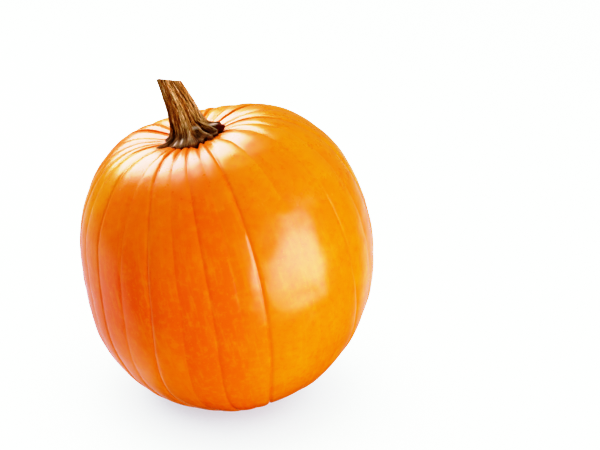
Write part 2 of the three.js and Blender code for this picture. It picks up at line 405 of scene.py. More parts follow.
def rib_relief(near, far, depth_near, depth_far, r, upper, share):
    """Height over the plain body. near and far are distances to the creases."""
    gap = near + far
    crown = np.where(upper, bell((r - CROWN_RIB_RADIUS) / CROWN_RIB_SPREAD), 0)
    crease = np.minimum(CREASE_WIDTH, CREASE_WIDTH_SHARE * gap)
    valley = np.minimum(VALLEY_WIDTH, VALLEY_WIDTH_SHARE * gap)

    def groove(depth, away):
        return depth * (CREASE_CUT * bell(away / crease) + VALLEY_CUT * bell(away / valley))

    cut = groove(depth_near, near) + groove(depth_far, far)
    bulge = RIB_BULGE * (4 * share * (1 - share) - RIB_SINK)
    bulge_gain = 1 + CROWN_BULGE_GAIN * crown
    cut_gain = 1 - CROWN_CUT_FADE * crown
    return smooth(*RIB_FADE, r) * (bulge_gain * bulge - cut_gain * cut)


def roughen(lift, plain, phi, r, upper):
    """Add the skin's unevenness, the crown's pleats and the hair-fine lines."""
    for height, wavelength, seed in SKIN_WAVES:
        lift = lift + height * wobble(plain, wavelength, seed)
    turn = phi / TURN
    height, count, seed = CROWN_PLEATS
    crown = np.where(upper, bell((r - PLEAT_RADIUS) / PLEAT_SPREAD), 0)
    lift = lift + crown * smooth(*PLEAT_FADE, r) * height * ring_noise(turn, count, seed)
    height, count, seed = HAIR_LINES
    return lift + height * ring_noise(turn, count, seed)


def crease_shade(near, far, depth_near, depth_far, r, upper):
    """How much painted shade, darker and redder, lies near a crease."""
    tint = depth_near * bell(near / CREASE_SHADE_WIDTH) + depth_far * bell(far / CREASE_SHADE_WIDTH)
    past = np.maximum(r - CREASE_SHADE_CROWN_RADIUS, 0) / CREASE_SHADE_CROWN_RADIUS
    crown = np.where(upper, bell(past), 0)
    return np.minimum(tint, CREASE_SHADE_MOST) * (1 - CREASE_SHADE_CROWN_FADE * crown)


def build_fruit_arrays():
    """Rings of points from the crown down, with the fields that the skin reads."""
    grooves = all_grooves()
    share = np.array(RIB_STOPS)
    theta, phi, width = fruit_grid(grooves, share)
    r, _ = profile(theta)
    upper = theta < math.pi / 2
    near = share * width * r
    far = (1 - share) * width * r
    depth_near = grooves[:, 3][None, :, None]
    depth_far = np.roll(depth_near, -1, axis=1)
    lift = rib_relief(near, far, depth_near, depth_far, r, upper, share)
    lift = roughen(lift, fruit_point(theta, phi, 0 * phi), phi, r, upper)
    points = fruit_point(theta, phi, lift)

    crease = crease_shade(near, far, depth_near, depth_far, r, upper)
    back_tones = BACK_TONE * np.sin(2.9 * np.arange(BACK_COUNT))
    tones = np.concatenate([FRONT_TONES, back_tones])[:, None]
    tone = tones * smooth(*TONE_FADE, r)
    flow = np.stack([np.cos(phi), np.sin(phi), theta * SKIN_FLOW_STRETCH], -1)

    def by_ring(values):
        return values.reshape(len(values), -1, *values.shape[3:])

    return by_ring(points), by_ring(crease), by_ring(tone), by_ring(flow)


def paint_gold_and_light(direction, tone):
    """How golden (+) or red (-) the skin is painted at each point of the unit body: the
    rib tones, with painted light toward the lit side and top and painted shade away.
    """
    gold_and_light = direction @ np.array(PAINTED_LIGHT_SIDE) + PAINTED_LIGHT_TOP * np.maximum(direction[:, 2], 0)
    gold_and_light = gold_and_light + tone
    for middle, size, strength in PAINTED_LIGHT_PATCHES:
        away = np.linalg.norm(direction - np.array(middle), axis=1)
        gold_and_light = gold_and_light + strength * bell(away / size)
    return gold_and_light


# ---------------------------------------------------------------- stem shape
def prong_at(phi):
    """Reach of the foot at an azimuth, the height of its toe, and its thickness."""
    reach = np.full(phi.shape, PRONG_BASE)
    toe = np.zeros(phi.shape)
    fall = np.full(phi.shape, PRONG_FALL)
    for azimuth, tip, width, height, thick in PRONGS:
        weight = bell(degrees_from(phi, azimuth) / width)
        reach = np.maximum(reach, PRONG_BASE + (tip - PRONG_BASE) * weight)
        toe = np.maximum(toe, height * weight)
        fall = np.maximum(fall, PRONG_FALL + (thick - PRONG_FALL) * weight)
    return reach, toe, fall


def knob_dome(height, phi):
    """The round end of the thick prong, 1 at its middle and 0 past its rim."""
    across = degrees_from(phi, KNOB_AZIMUTH) / KNOB_HALF_WIDTH
    up = (height - KNOB_HEIGHT) / KNOB_SIZE
    return np.maximum(1 - across**2 - up**2, 0) ** 0.5


def stem_radius(height, phi):
    """Radius of the tapered column, whose ridges run out into the prongs."""
    reach, toe, fall = prong_at(phi)
    ridge = RIDGE_LOW + RIDGE_RISE * np.minimum((reach - PRONG_BASE) / RIDGE_FULL, 1)
    column = (STEM_NECK + STEM_TAPER * np.maximum(STEM_LENGTH - height, 0)) * ridge
    above = np.maximum(height - toe, 0) / fall
    foot = (reach - column) * np.exp(-(above**PRONG_ROUND))
    return column + foot + KNOB_SWELL * knob_dome(height, phi)


def stem_scars(height, phi):
    """Lift of the lumps and hollows at the foot, and how pale (+) or dark (-) they are painted:
    dark as painted shade, pale partly as painted highlight.
    """
    lift = np.zeros(np.shape(height))
    pale = np.zeros(np.shape(height))
    for azimuth, level, width, size, rise, light in STEM_SCARS:
        spot = bell(degrees_from(phi, azimuth) / width) * bell((height - level) / size)
        lift = lift + rise * spot
        pale = pale + light * spot
    return lift, pale


def furrows(turn, count, seed, sharpness):
    """Rounded ridges with narrow furrows between them, about -0.5 to 0.5."""
    return np.abs(ring_noise(turn, count, seed)) ** sharpness - 0.5


def stem_fibres(height, phi):
    """Height of the ridges (+) and furrows (-) along the stem, in millimetres."""
    turn = phi / TURN + FIBRE_TWIST * height
    blend = smooth(*FIBRE_CHANGE, height)
    coarse = furrows(turn, *FURROWS_COARSE)
    middle = furrows(turn, *FURROWS_LOW) * (1 - blend) + furrows(turn, *FURROWS_HIGH) * blend
    fine = ring_noise(turn, *FIBRES_LOW) * (1 - blend) + ring_noise(turn, *FIBRES_HIGH) * blend
    return COARSE_DEPTH * coarse + MIDDLE_DEPTH * middle + FINE_DEPTH * fine


def crown_rise(radius):
    """How far the hollow's floor has risen at a distance from the stem."""
    shoulder = TOP_HEIGHT * (1 - (radius / RADIUS) ** TOP_POWER) ** (1 / TOP_POWER)
    return shoulder - TOP_HEIGHT + CROWN_DIP * (1 - bell(radius / CROWN_SPREAD))


def stem_point(height, phi, radius):
    """Points of the standing stem, by their height above the crown's skin."""
    seat = TOP_HEIGHT - CROWN_DIP
    t = np.clip(height / STEM_LENGTH, 0, 1)
    bow = STEM_BOW * np.sin(math.pi * t)
    x = STEM_BASE[0] + STEM_LEAN_X * height + bow + radius * np.cos(phi)
    y = STEM_BASE[1] + STEM_LEAN_Y * height + radius * np.sin(phi)
    return np.stack([x, y, seat + height + crown_rise(radius)], -1)


def cut_height(phi, radius):
    """Height of the slanted cut at the top of the stem."""
    slope = STEM_CUT_SLOPE_X * np.cos(phi) + STEM_CUT_SLOPE_Y * np.sin(phi)
    return STEM_LENGTH - radius * slope


def cut_face(phi, rim_radius, chips):
    """Rings of the cut end from its middle out, with their heights and tones."""
    rings, heights, tones = [], [], []
    turn = phi / TURN
    for share in CUT_SHARES:
        radius = share * rim_radius
        pith = smooth(0, PITH_SHARE, PITH_SHARE - share)
        dish = STEM_DISH * (1 - share**2) * (1 - pith * PITH_RISE)
        grain = CUT_GRAIN * ring_noise(turn, CUT_GRAIN_COUNT, int(100 * share))
        height = cut_height(phi, radius) + chips * share**RIM_CHIP_POWER
        rings.append(stem_point(height - dish + grain, phi, radius))
        heights.append(height)
        rays = RAY_TONE * ring_noise(turn, *RAYS) * smooth(*RAY_RISE, share)
        bark = BARK_TONE * smooth(*BARK_RISE, share)
        tones.append(bell(share / PITH_TONE_SHARE) + bark + rays)
    return np.array(rings), np.array(heights), np.array(tones)


def stem_side(phi, rim):
    """Rings from the rim down to the foot, with their heights and fields."""
    down = (np.arange(STEM_ROWS + 1) / STEM_ROWS)[:, None] ** STEM_ROW_POWER
    height = rim - (rim + STEM_SINK) * down
    azimuth = np.broadcast_to(phi, height.shape)
    relief = stem_fibres(height, azimuth)
    edge = bell((rim - height) / RIM_ROUND_HEIGHT) * RIM_ROUND
    radius = stem_radius(height, azimuth)
    foot = np.exp(-np.maximum(height, 0) / FOOT_HEIGHT)
    lump = wobble(stem_point(height, azimuth, radius), LUMP_WAVELENGTH, LUMP_SEED)
    lump = lump * (LUMP_SIZE + FOOT_LUMP_SIZE * foot)
    radius = radius + relief * (1 - FOOT_FIBRE_LOSS * foot) - edge + lump
    scar_lift, scar_pale = stem_scars(height, azimuth)
    radius = radius + scar_lift
    knob = knob_dome(height, azimuth) * smooth(*KNOB_TINT, radius)
    return stem_point(height, azimuth, radius), height, relief, scar_pale, knob


def build_stem_arrays():
    """Rings of points from the cut down, with the fields that the stem's look
    reads, each with its values at the two end points."""
    phi = np.arange(STEM_COLUMNS) * TURN / STEM_COLUMNS
    top = np.full(phi.shape, STEM_LENGTH)
    rim_radius = stem_radius(top, phi) + stem_fibres(top, phi)
    chips = sum(size * ring_noise(phi / TURN, count, seed) for size, count, seed in RIM_CHIPS)
    rim = cut_height(phi, rim_radius) + chips
    cut_rings, cut_heights, cut_tones = cut_face(phi, rim_radius, chips)
    side_rings, side_height, relief, pale, knob = stem_side(phi, rim)

    none = np.zeros(cut_heights.shape)
    height = np.concatenate([cut_heights, side_height])
    azimuth = np.broadcast_to(phi, height.shape)
    flow = np.stack([np.cos(azimuth), np.sin(azimuth), height * STEM_FLOW_STRETCH], -1)
    fields = {
        "cut": (np.concatenate([none + 1, np.zeros(side_height.shape)]), 1, 0),
        "knob": (np.concatenate([none, knob]), 0, 0),
        "relief": (np.concatenate([cut_tones, relief]), 1, 0),
        "pale": (np.concatenate([none, pale]), 0, 0),
        "height": (height, STEM_LENGTH, -STEM_SINK),
        "flow": (flow, CUT_MIDDLE_FLOW, (0, 0, 0)),
    }
    return np.concatenate([cut_rings, side_rings]), fields


# ---------------------------------------------------------------- mesh helpers
def closed_grid(first, rings, last):
    """Vertices and faces of a closed surface from rings and two end points."""
    rows, count = rings.shape[:2]
    points = np.concatenate([[first], rings.reshape(-1, 3), [last]])
    i = np.arange(count)
    j = (i + 1) % count
    quads = []
    for row in range(rows - 1):
        a = 1 + row * count
        b = a + count
        quads.append(np.stack([a + i, b + i, b + j, a + j], -1))
    quads = np.concatenate(quads)
    top = np.stack([0 * i, 1 + i, 1 + j], -1)
    base = 1 + (rows - 1) * count
    bottom = np.stack([0 * i + len(points) - 1, base + j, base + i], -1)
    return points, quads, np.concatenate([top, bottom])


def make_object(name, points, quads, triangles):
    """A smooth-shaded mesh object, from points in millimetres."""
    mesh = bpy.data.meshes.new(name)
    corners = np.concatenate([quads.ravel(), triangles.ravel()])
    quad_starts = 4 * np.arange(len(quads))
    triangle_starts = 4 * len(quads) + 3 * np.arange(len(triangles))
    starts = np.concatenate([quad_starts, triangle_starts])
    mesh.vertices.add(len(points))
    mesh.vertices.foreach_set("co", (points * MM).astype(np.float32).ravel())
    mesh.loops.add(len(corners))
    mesh.loops.foreach_set("vertex_index", corners.astype(np.int32))
    mesh.polygons.add(len(starts))
    mesh.polygons.foreach_set("loop_start", starts.astype(np.int32))
    mesh.update(calc_edges=True)
    mesh.validate()
    mesh.shade_smooth()
    obj = bpy.data.objects.new(name, mesh)
    bpy.context.scene.collection.objects.link(obj)
    return obj


def add_field(obj, name, values):
    """Store one number, or three, per vertex for the materials to read."""
    values = np.asarray(values, np.float32)
    kind, key = ("FLOAT", "value") if values.ndim == 1 else ("FLOAT_VECTOR", "vector")
    attribute = obj.data.attributes.new(name, kind, "POINT")
    attribute.data.foreach_set(key, values.ravel())


def with_ends(values, first, last):
    """One value per vertex of a closed grid, from rings and two end values."""
    return np.concatenate([[first], values.reshape(-1, *values.shape[2:]), [last]])


def lean(points):
    """Lean the upright shape over toward -X."""
    x, y, z = points[..., 0], points[..., 1], points[..., 2]
    cosine, sine = math.cos(LEAN), math.sin(LEAN)
    return np.stack([x * cosine - z * sine, y, x * sine + z * cosine], -1)


def press_down(points, ground):
    """Flatten whatever lies below the ground height, rounding into the flat."""
    z = points[..., 2] - ground
    soft = (z + PRESS_BLEND) ** 2 / (4 * PRESS_BLEND)
    flat = np.where(z < -PRESS_BLEND, 0, np.where(z < PRESS_BLEND, soft, z))
    return np.concatenate([points[..., :2], flat[..., None]], -1)


# ---------------------------------------------------------------- node helpers
def rgb(r, g, b):
    """An opaque colour in linear light."""
    return (r, g, b, 1.0)


class Nodes:
    """Short calls for building the nodes of a material, the world or a light."""

    def __init__(self, owner, shader):
        owner.use_nodes = True
        self.tree = owner.node_tree
        self.shader = self.tree.nodes[shader]

    def new(self, kind, **settings):
        node = self.tree.nodes.new("ShaderNode" + kind)
        for key, value in settings.items():
            setattr(node, key, value)
        return node

    def link(self, source, target):
        self.tree.links.new(source, target)

    def put(self, socket, value):
        if isinstance(value, bpy.types.NodeSocket):
            self.link(value, socket)
        else:
            socket.default_value = value

    def field(self, name, vector=False):
        node = self.new("Attribute", attribute_name=name)
        return node.outputs["Vector" if vector else "Fac"]

    def place(self):
        return self.new("TexCoord").outputs["Object"]

    def split(self, vector):
        node = self.new("SeparateXYZ")
        self.link(vector, node.inputs[0])
        return node.outputs

    def math(self, operation, *values):
        node = self.new("Math", operation=operation)
        for socket, value in zip(node.inputs, values):
            self.put(socket, value)
        return node.outputs[0]

    def plus(self, a, b):
        return self.math("ADD", a, b)

    def minus(self, a, b):
        return self.math("SUBTRACT", a, b)

    def times(self, a, b):
        return self.math("MULTIPLY", a, b)

    def ramp(self, value, across, to=(0.0, 1.0)):
        """Pass smoothly from one number to another as a value crosses a range."""
        node = self.new("MapRange", interpolation_type="SMOOTHSTEP")
        self.put(node.inputs["Value"], value)
        keys = ("From Min", "From Max", "To Min", "To Max")
        for key, number in zip(keys, (*across, *to)):
            node.inputs[key].default_value = number
        return node.outputs["Result"]

    def noise(self, vector, scale, detail=3.0, rough=0.55):
        node = self.new("TexNoise")
        self.put(node.inputs["Vector"], vector)
        node.inputs["Scale"].default_value = scale
        node.inputs["Detail"].default_value = detail
        node.inputs["Roughness"].default_value = rough
        return node.outputs["Fac"]

    def dots(self, place, scale, edge, cluster_scale, cluster):
        """Small round dots that come in loose clusters."""
        cells = self.new("TexVoronoi", feature="F1")
        self.put(cells.inputs["Vector"], place)
        cells.inputs["Scale"].default_value = scale
        dot = self.ramp(cells.outputs["Distance"], edge, to=(1.0, 0.0))
        return self.times(dot, self.ramp(self.noise(place, cluster_scale, detail=2), cluster))

    def mix(self, share, a, b, kind="RGBA", sockets=(6, 7, 2)):
        """Mix two colours: the share is that of the second."""
        node = self.new("Mix", data_type=kind)
        first, second, result = sockets
        self.put(node.inputs[0], share)
        self.put(node.inputs[first], a)
        self.put(node.inputs[second], b)
        return node.outputs[result]

    def mix_numbers(self, share, a, b):
        return self.mix(share, a, b, "FLOAT", (2, 3, 0))

    def tint(self, color, other, value, across, most=1.0):
        """Mix another colour in, up to a share, as a value crosses a range."""
        return self.mix(self.ramp(value, across, to=(0.0, most)), color, other)

    def bump(self, height, distance, strength):
        node = self.new("Bump")
        self.put(node.inputs["Height"], height)
        node.inputs["Distance"].default_value = distance
        node.inputs["Strength"].default_value = strength
        return node.outputs["Normal"]


def new_material(name):
    material = bpy.data.materials.new(name)
    return material, Nodes(material, "Principled BSDF")


# ---------------------------------------------------------------- skin
# The field of gold mixes SKIN_DEEP red through SKIN_RIPE to SKIN_GOLDEN: partly the skin's own
# hue, partly painted shade toward red and painted light toward golden.
SKIN_DEEP = rgb(0.86, 0.148, 0.008)
SKIN_RIPE = rgb(0.87, 0.219, 0.006)
SKIN_GOLDEN = rgb(0.90, 0.35, 0.010)
SKIN_LIGHT = rgb(0.92, 0.33, 0.015)
SKIN_CREASE_SHADE = rgb(0.80, 0.12, 0.002)
SKIN_MOTTLE = rgb(0.84, 0.14, 0.004)
FRECKLE_COLOR = rgb(1.0, 0.42, 0.06)
FRECKLE_SHARE = 0.22
PORE_COLOR = rgb(0.55, 0.06, 0.004)
PORE_SHARE = 0.35
# How strongly broad clouds of noise shift the field of gold.
CLOUD_GAIN = 1.1

SKIN_ROUGHNESS = (0.14, 0.23)
# The skin grows duller between these heights, in metres, by so much roughness.
CROWN_LEVEL = (0.17, 0.205)
CROWN_DULLNESS = 0.12
# A tint on the gloss, which makes its highlights peach.
SKIN_HIGHLIGHT = rgb(1.0, 0.80, 0.88)
SKIN_IOR = 1.8
# Relief too fine for the mesh: its depth in metres, and what it is made of.
SKIN_BUMP = 0.00008
PEEL_HEIGHT = 0.5
GRAIN_HEIGHT = 0.6
FRECKLE_HEIGHT = -0.35


def skin_color(nodes, place, flow):
    """Red to golden, partly as painted light and shade, with pale streaks and patches, and painted
    shade in the creases.
    """
    clouds = nodes.noise(place, scale=14)
    patches = nodes.noise(place, scale=45, detail=4)
    streaks = nodes.noise(flow, scale=26, detail=4, rough=0.6)
    gold_and_light = nodes.plus(nodes.field("gold_and_painted_light"), nodes.times(nodes.minus(clouds, 0.5), CLOUD_GAIN))
    color = nodes.tint(SKIN_DEEP, SKIN_RIPE, gold_and_light, across=(-0.75, 0.25))
    color = nodes.tint(color, SKIN_GOLDEN, gold_and_light, across=(0.33, 1.0))
    color = nodes.tint(color, SKIN_LIGHT, streaks, across=(0.5, 0.75), most=0.35)
    color = nodes.tint(color, SKIN_LIGHT, patches, across=(0.55, 0.75), most=0.25)
    # Painted shade, darker and redder, along the creases.
    crease = nodes.field("crease")
    return nodes.tint(color, SKIN_CREASE_SHADE, crease, across=(0.2, 1.6), most=0.35)


def skin_marks(nodes, place, color, freckle):
    """Fine mottling, then pale freckles and dark pores."""
    mottle = nodes.noise(place, scale=230, detail=4, rough=0.65)
    color = nodes.tint(color, SKIN_MOTTLE, mottle, across=(0.5, 0.7), most=0.35)
    color = nodes.tint(color, SKIN_LIGHT, mottle, across=(0.5, 0.32), most=0.22)
    color = nodes.mix(nodes.times(freckle, FRECKLE_SHARE), color, FRECKLE_COLOR)
    pore = nodes.dots(place, scale=520, edge=(0.08, 0.2), cluster_scale=75, cluster=(0.42, 0.6))
    return nodes.mix(nodes.times(pore, PORE_SHARE), color, PORE_COLOR)


def skin_roughness(nodes, place):
    """Waxy and a little uneven, and duller on the crown."""
    worn = nodes.ramp(nodes.noise(place, scale=90), across=(0.3, 0.7), to=SKIN_ROUGHNESS)
    level = nodes.split(place)["Z"]
    return nodes.plus(worn, nodes.ramp(level, CROWN_LEVEL, to=(0.0, CROWN_DULLNESS)))


def skin_material():
    material, nodes = new_material("pumpkin_skin")
    place = nodes.place()
    flow = nodes.field("flow", vector=True)
    freckle = nodes.dots(place, scale=360, edge=(0.10, 0.2), cluster_scale=60, cluster=(0.48, 0.6))
    color = skin_marks(nodes, place, skin_color(nodes, place, flow), freckle)
    nodes.link(color, nodes.shader.inputs["Base Color"])
    nodes.link(skin_roughness(nodes, place), nodes.shader.inputs["Roughness"])
    nodes.shader.inputs["Specular IOR Level"].default_value = 0.5
    nodes.shader.inputs["Specular Tint"].default_value = SKIN_HIGHLIGHT
    nodes.shader.inputs["IOR"].default_value = SKIN_IOR

    peel = nodes.noise(place, scale=420)
    grain = nodes.noise(flow, scale=90)
    height = nodes.plus(nodes.times(peel, PEEL_HEIGHT), nodes.times(grain, GRAIN_HEIGHT))
    height = nodes.plus(height, nodes.times(freckle, FRECKLE_HEIGHT))
    nodes.link(nodes.bump(height, SKIN_BUMP, strength=0.5), nodes.shader.inputs["Normal"])
    return material


# ---------------------------------------------------------------- dry stem
STEM_FURROW_SHADE = rgb(0.022, 0.008, 0.003)
STEM_BROWN = rgb(0.21, 0.080, 0.019)
STEM_ORANGE = rgb(0.46, 0.185, 0.042)
STEM_TAN = rgb(0.50, 0.29, 0.11)
STEM_PALE = rgb(0.84, 0.67, 0.43)
FOOT_SHADE_DARK = rgb(0.06, 0.024, 0.010)
FOOT_SHADE_BROWN = rgb(0.23, 0.10, 0.035)
KNOB_COLOR = rgb(0.14, 0.016, 0.008)
PALE_SPOT_AND_HIGHLIGHT = rgb(0.80, 0.68, 0.50)
SCAR_SHADE = rgb(0.018, 0.010, 0.008)
CUT_BROWN = rgb(0.46, 0.32, 0.16)
CUT_PALE = rgb(0.66, 0.52, 0.32)
CUT_DARK = rgb(0.26, 0.14, 0.05)
# What the fibres' shade is made of, and the level taken off in the end. The relief part is
# # painted shade in the furrows and painted light on the ridges; the lines and threads are
# # the wood's own streaks.
RELIEF_SHADE = 0.32
LINE_SHADE = 1.7
THREAD_SHADE = 1.9
SHADE_LEVEL = 1.27
# The stem is painted darker toward the foot between these heights, in millimetres: partly
# # painted shade where it meets the skin, partly the wood's own blotchy brown.
FOOT_SHADE_LEVEL = (11, 3)
FOOT_SHADE_SHARE = 0.75
# Relief too fine for the mesh: its depth in metres, and what it is made of.
STEM_BUMP = 0.0012
LINE_HEIGHT = 0.8
THREAD_HEIGHT = 0.5


def fibre_color(nodes, flow, lines, thread):
    """Painted shade in the furrows to pale ridges, through brown and bands of orange and tan."""
    bands = nodes.noise(flow, scale=3.4, detail=2)
    shade = nodes.times(nodes.field("relief"), RELIEF_SHADE)
    shade = nodes.plus(shade, nodes.times(lines, LINE_SHADE))
    shade = nodes.plus(shade, nodes.times(thread, THREAD_SHADE))
    shade = nodes.minus(shade, SHADE_LEVEL)
    warm = nodes.tint(STEM_ORANGE, STEM_TAN, bands, across=(0.42, 0.58))
    color = nodes.tint(STEM_FURROW_SHADE, STEM_BROWN, shade, across=(0.08, 0.36))
    color = nodes.tint(color, warm, shade, across=(0.35, 0.62))
    return nodes.tint(color, STEM_PALE, shade, across=(0.68, 0.98), most=0.8)


def foot_color(nodes, blotch, color):
    """Painted shade over blotchy brown toward the foot, the dark knob, pale marks that are partly
    painted highlights on lumps, and dark marks of painted shade.
    """
    # Painted shade over the wood's blotchy brown, mixed in toward the foot.
    root = nodes.tint(FOOT_SHADE_DARK, FOOT_SHADE_BROWN, blotch, across=(0.42, 0.62))
    foot = nodes.ramp(nodes.field("height"), FOOT_SHADE_LEVEL)
    color = nodes.mix(nodes.times(foot, FOOT_SHADE_SHARE), color, root)
    color = nodes.tint(color, KNOB_COLOR, nodes.field("knob"), across=(0.35, 0.75), most=0.9)
    # Pale marks, partly painted highlights, and dark marks of painted shade.
    scar = nodes.field("pale")
    color = nodes.tint(color, PALE_SPOT_AND_HIGHLIGHT, scar, across=(0.15, 1.3))
    return nodes.tint(color, SCAR_SHADE, scar, across=(-0.15, -0.7))


def stem_material():
    material, nodes = new_material("dry_stem")
    flow = nodes.field("flow", vector=True)
    lines = nodes.noise(flow, scale=10, detail=4, rough=0.65)
    thread = nodes.noise(flow, scale=36, rough=0.7)
    blotch = nodes.noise(nodes.place(), scale=120, detail=4)
    color = foot_color(nodes, blotch, fibre_color(nodes, flow, lines, thread))
    face = nodes.tint(CUT_BROWN, CUT_PALE, blotch, across=(0.35, 0.65))
    face = nodes.tint(face, CUT_DARK, nodes.field("relief"), across=(0.1, 0.9))
    color = nodes.mix(nodes.field("cut"), color, face)
    nodes.link(color, nodes.shader.inputs["Base Color"])
    nodes.shader.inputs["Roughness"].default_value = 0.78
    nodes.shader.inputs["Specular IOR Level"].default_value = 0.3
    height = nodes.plus(nodes.times(lines, LINE_HEIGHT), nodes.times(thread, THREAD_HEIGHT))
    nodes.link(nodes.bump(height, STEM_BUMP, strength=0.8), nodes.shader.inputs["Normal"])
    return material


# ---------------------------------------------------------------- build pieces
ZERO = np.array(0.0)

crown_point = fruit_point(ZERO, ZERO, ZERO)
blossom_point = fruit_point(np.array(math.pi), ZERO, ZERO)
fruit_rings, crease, tone, flow = build_fruit_arrays()
vertices, quads, triangles = closed_grid(crown_point, fruit_rings, blossom_point)
vertices = lean(vertices)
ground = vertices[:, 2].min() + PRESS_DEPTH
vertices = press_down(vertices, ground)

stem_top = stem_point(np.array(STEM_LENGTH - STEM_DISH), ZERO, ZERO)
stem_foot = stem_point(np.array(-STEM_SINK), ZERO, ZERO)
stem_rings, stem_fields = build_stem_arrays()
stem_vertices, stem_quads, stem_triangles = closed_grid(stem_top, stem_rings, stem_foot)
stem_vertices = lean(stem_vertices)
stem_vertices[:, 2] -= ground

# Both pieces move together to where the solid of the fruit is, and the fruit is
# drawn in sideways by the hair that would stick out of it.
fruit_low, fruit_high = vertices.min(0), vertices.max(0)
cad_fruit_low, cad_fruit_high = (np.array(corner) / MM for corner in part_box("fruit"))
shift = (cad_fruit_low + cad_fruit_high - fruit_low - fruit_high) / 2
shift[2] = 0
vertices = vertices + shift
stem_vertices = stem_vertices + shift
inset = (cad_fruit_high - cad_fruit_low)[:2] / (fruit_high - fruit_low)[:2]
vertices[:, :2] *= np.minimum(inset, 1)
origin = np.array([0.0, 0.0, -ground]) + shift

fruit = make_object("pumpkin_fruit", vertices, quads, triangles)
# The field of gold holds the rib tones with the painted light and shade.
add_field(fruit, "gold_and_painted_light", paint_gold_and_light((vertices - origin) / RADIUS, with_ends(tone, 0, 0)))
add_field(fruit, "crease", with_ends(crease, 0, 0))
add_field(fruit, "flow", with_ends(flow, (0, 0, 0), (0, 0, math.pi * SKIN_FLOW_STRETCH)))
fruit.data.materials.append(skin_material())
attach(fruit, "root")
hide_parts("fruit")

stem = make_object("pumpkin_stem", stem_vertices, stem_quads, stem_triangles)
for name, (values, first, last) in stem_fields.items():
    add_field(stem, name, with_ends(values, first, last))
stem.data.materials.append(stem_material())
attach(stem, "root")
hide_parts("stem")

# ---------------------------------------------------------------- floor
FLOOR_SIZE = 60.0
FLOOR_COLOR = rgb(0.2, 0.2, 0.2)
# The floor glows: how strongly on the pumpkin, and to the camera from close by
# # the fruit, where it is dimmed as a painted soft shadow, to further off. Its tint
# # keeps the painted shadow grey.
FLOOR_GLOW = rgb(0.9, 1.0, 0.87)
FLOOR_BOUNCE = 1.25
FLOOR_SHADE = 0.6
FLOOR_WHITE = 2.5
SHADOW_REACH = 0.14
SHADOW_RANGE = (0.1, 0.9)
SHADOW_SAMPLES = 16


def pale_floor():
    """White to the camera, with a painted soft shadow near the fruit, out of sight in gloss."""
    half = FLOOR_SIZE / 2
    corners = [(-half, -half, 0), (half, -half, 0), (half, half, 0), (-half, half, 0)]
    mesh = bpy.data.meshes.new("floor")
    mesh.from_pydata(corners, [], [(0, 1, 2, 3)])
    obj = bpy.data.objects.new("floor", mesh)
    bpy.context.scene.collection.objects.link(obj)
    obj.visible_glossy = False

    material, nodes = new_material("pale_floor")
    nodes.shader.inputs["Base Color"].default_value = FLOOR_COLOR
    nodes.shader.inputs["Roughness"].default_value = 1.0
    nodes.shader.inputs["Specular IOR Level"].default_value = 0.0
    nodes.shader.inputs["Emission Color"].default_value = FLOOR_GLOW
    # Ambient occlusion dims the glow to the camera near the fruit: a painted soft shadow.
    openness = nodes.new("AmbientOcclusion", samples=SHADOW_SAMPLES)
    openness.inputs["Distance"].default_value = SHADOW_REACH
    white = nodes.ramp(openness.outputs["AO"], SHADOW_RANGE, to=(FLOOR_SHADE, FLOOR_WHITE))
    seen = nodes.new("LightPath").outputs["Is Camera Ray"]
    strength = nodes.mix_numbers(seen, FLOOR_BOUNCE, white)
    nodes.link(strength, nodes.shader.inputs["Emission Strength"])
    mesh.materials.append(material)
    return obj


floor = pale_floor()

# ---------------------------------------------------------------- world
FILL = 0.40
BACKDROP_WHITE = 2.4
# A pale cove behind, which only the gloss sees, turned a little to the left.
# Each pair is where it changes, by the direction of a ray: COVE_BACK from the
# sides to the back, COVE_LEVEL up to the horizon, where it is down to
# COVE_HIGH_GLOSS, COVE_TOP where it ends above, and COVE_FOOT where it ends
# below, which is lower on the left.
COVE_GLOSS = 0.9
COVE_TURN = 0.35
COVE_BACK = (0.0, 0.5)
COVE_LEVEL = (-0.35, 0.05)
COVE_HIGH_GLOSS = 0.25
COVE_TOP = (0.35, 0.6)
COVE_FOOT = (-0.72, -0.42)
COVE_LOW_LEFT = 0.7


def studio_world():
    """White to the eye, even fill on the skin, a pale cove behind in its gloss."""
    world = bpy.data.worlds.new("studio")
    bpy.context.scene.world = world
    nodes = Nodes(world, "Background")
    axes = nodes.split(nodes.new("TexCoord").outputs["Generated"])
    x, y, z = axes["X"], axes["Y"], axes["Z"]
    backward = nodes.math("MULTIPLY_ADD", x, -COVE_TURN, y)
    behind = nodes.ramp(backward, COVE_BACK, to=(0.0, COVE_GLOSS))
    level = nodes.ramp(z, COVE_LEVEL, to=(1.0, COVE_HIGH_GLOSS))
    cove = nodes.times(nodes.times(behind, level), nodes.ramp(z, COVE_TOP, to=(1.0, 0.0)))
    leftward = nodes.math("MINIMUM", x, 0.0)
    rise = nodes.math("MULTIPLY_ADD", leftward, -COVE_LOW_LEFT, z)
    cove = nodes.times(cove, nodes.ramp(rise, COVE_FOOT))
    path = nodes.new("LightPath")
    strength = nodes.mix_numbers(path.outputs["Is Glossy Ray"], FILL, cove)
    strength = nodes.mix_numbers(path.outputs["Is Camera Ray"], strength, BACKDROP_WHITE)
    nodes.shader.inputs["Color"].default_value = rgb(1, 1, 1)
    nodes.link(strength, nodes.shader.inputs["Strength"])


studio_world()

# ---------------------------------------------------------------- lights
# How each box of light looks in the gloss: where its brightness starts and is
# full at its inner side, outer side, foot and head, as shares of its size, and
# how far its inner side leans.
OVERHEAD_SHAPE = (((0.0, 0.22), (0.95, 0.65), (0.0, 0.22), (1.0, 0.78)), 0.0)
WINDOW_SHAPE = (((-0.3, 0.1), (1.0, 0.88), (-0.04, 0.4), (1.02, 0.92)), 0.74)
FILL_SETBACK = 0.05
body_centre = Vector(origin * MM)


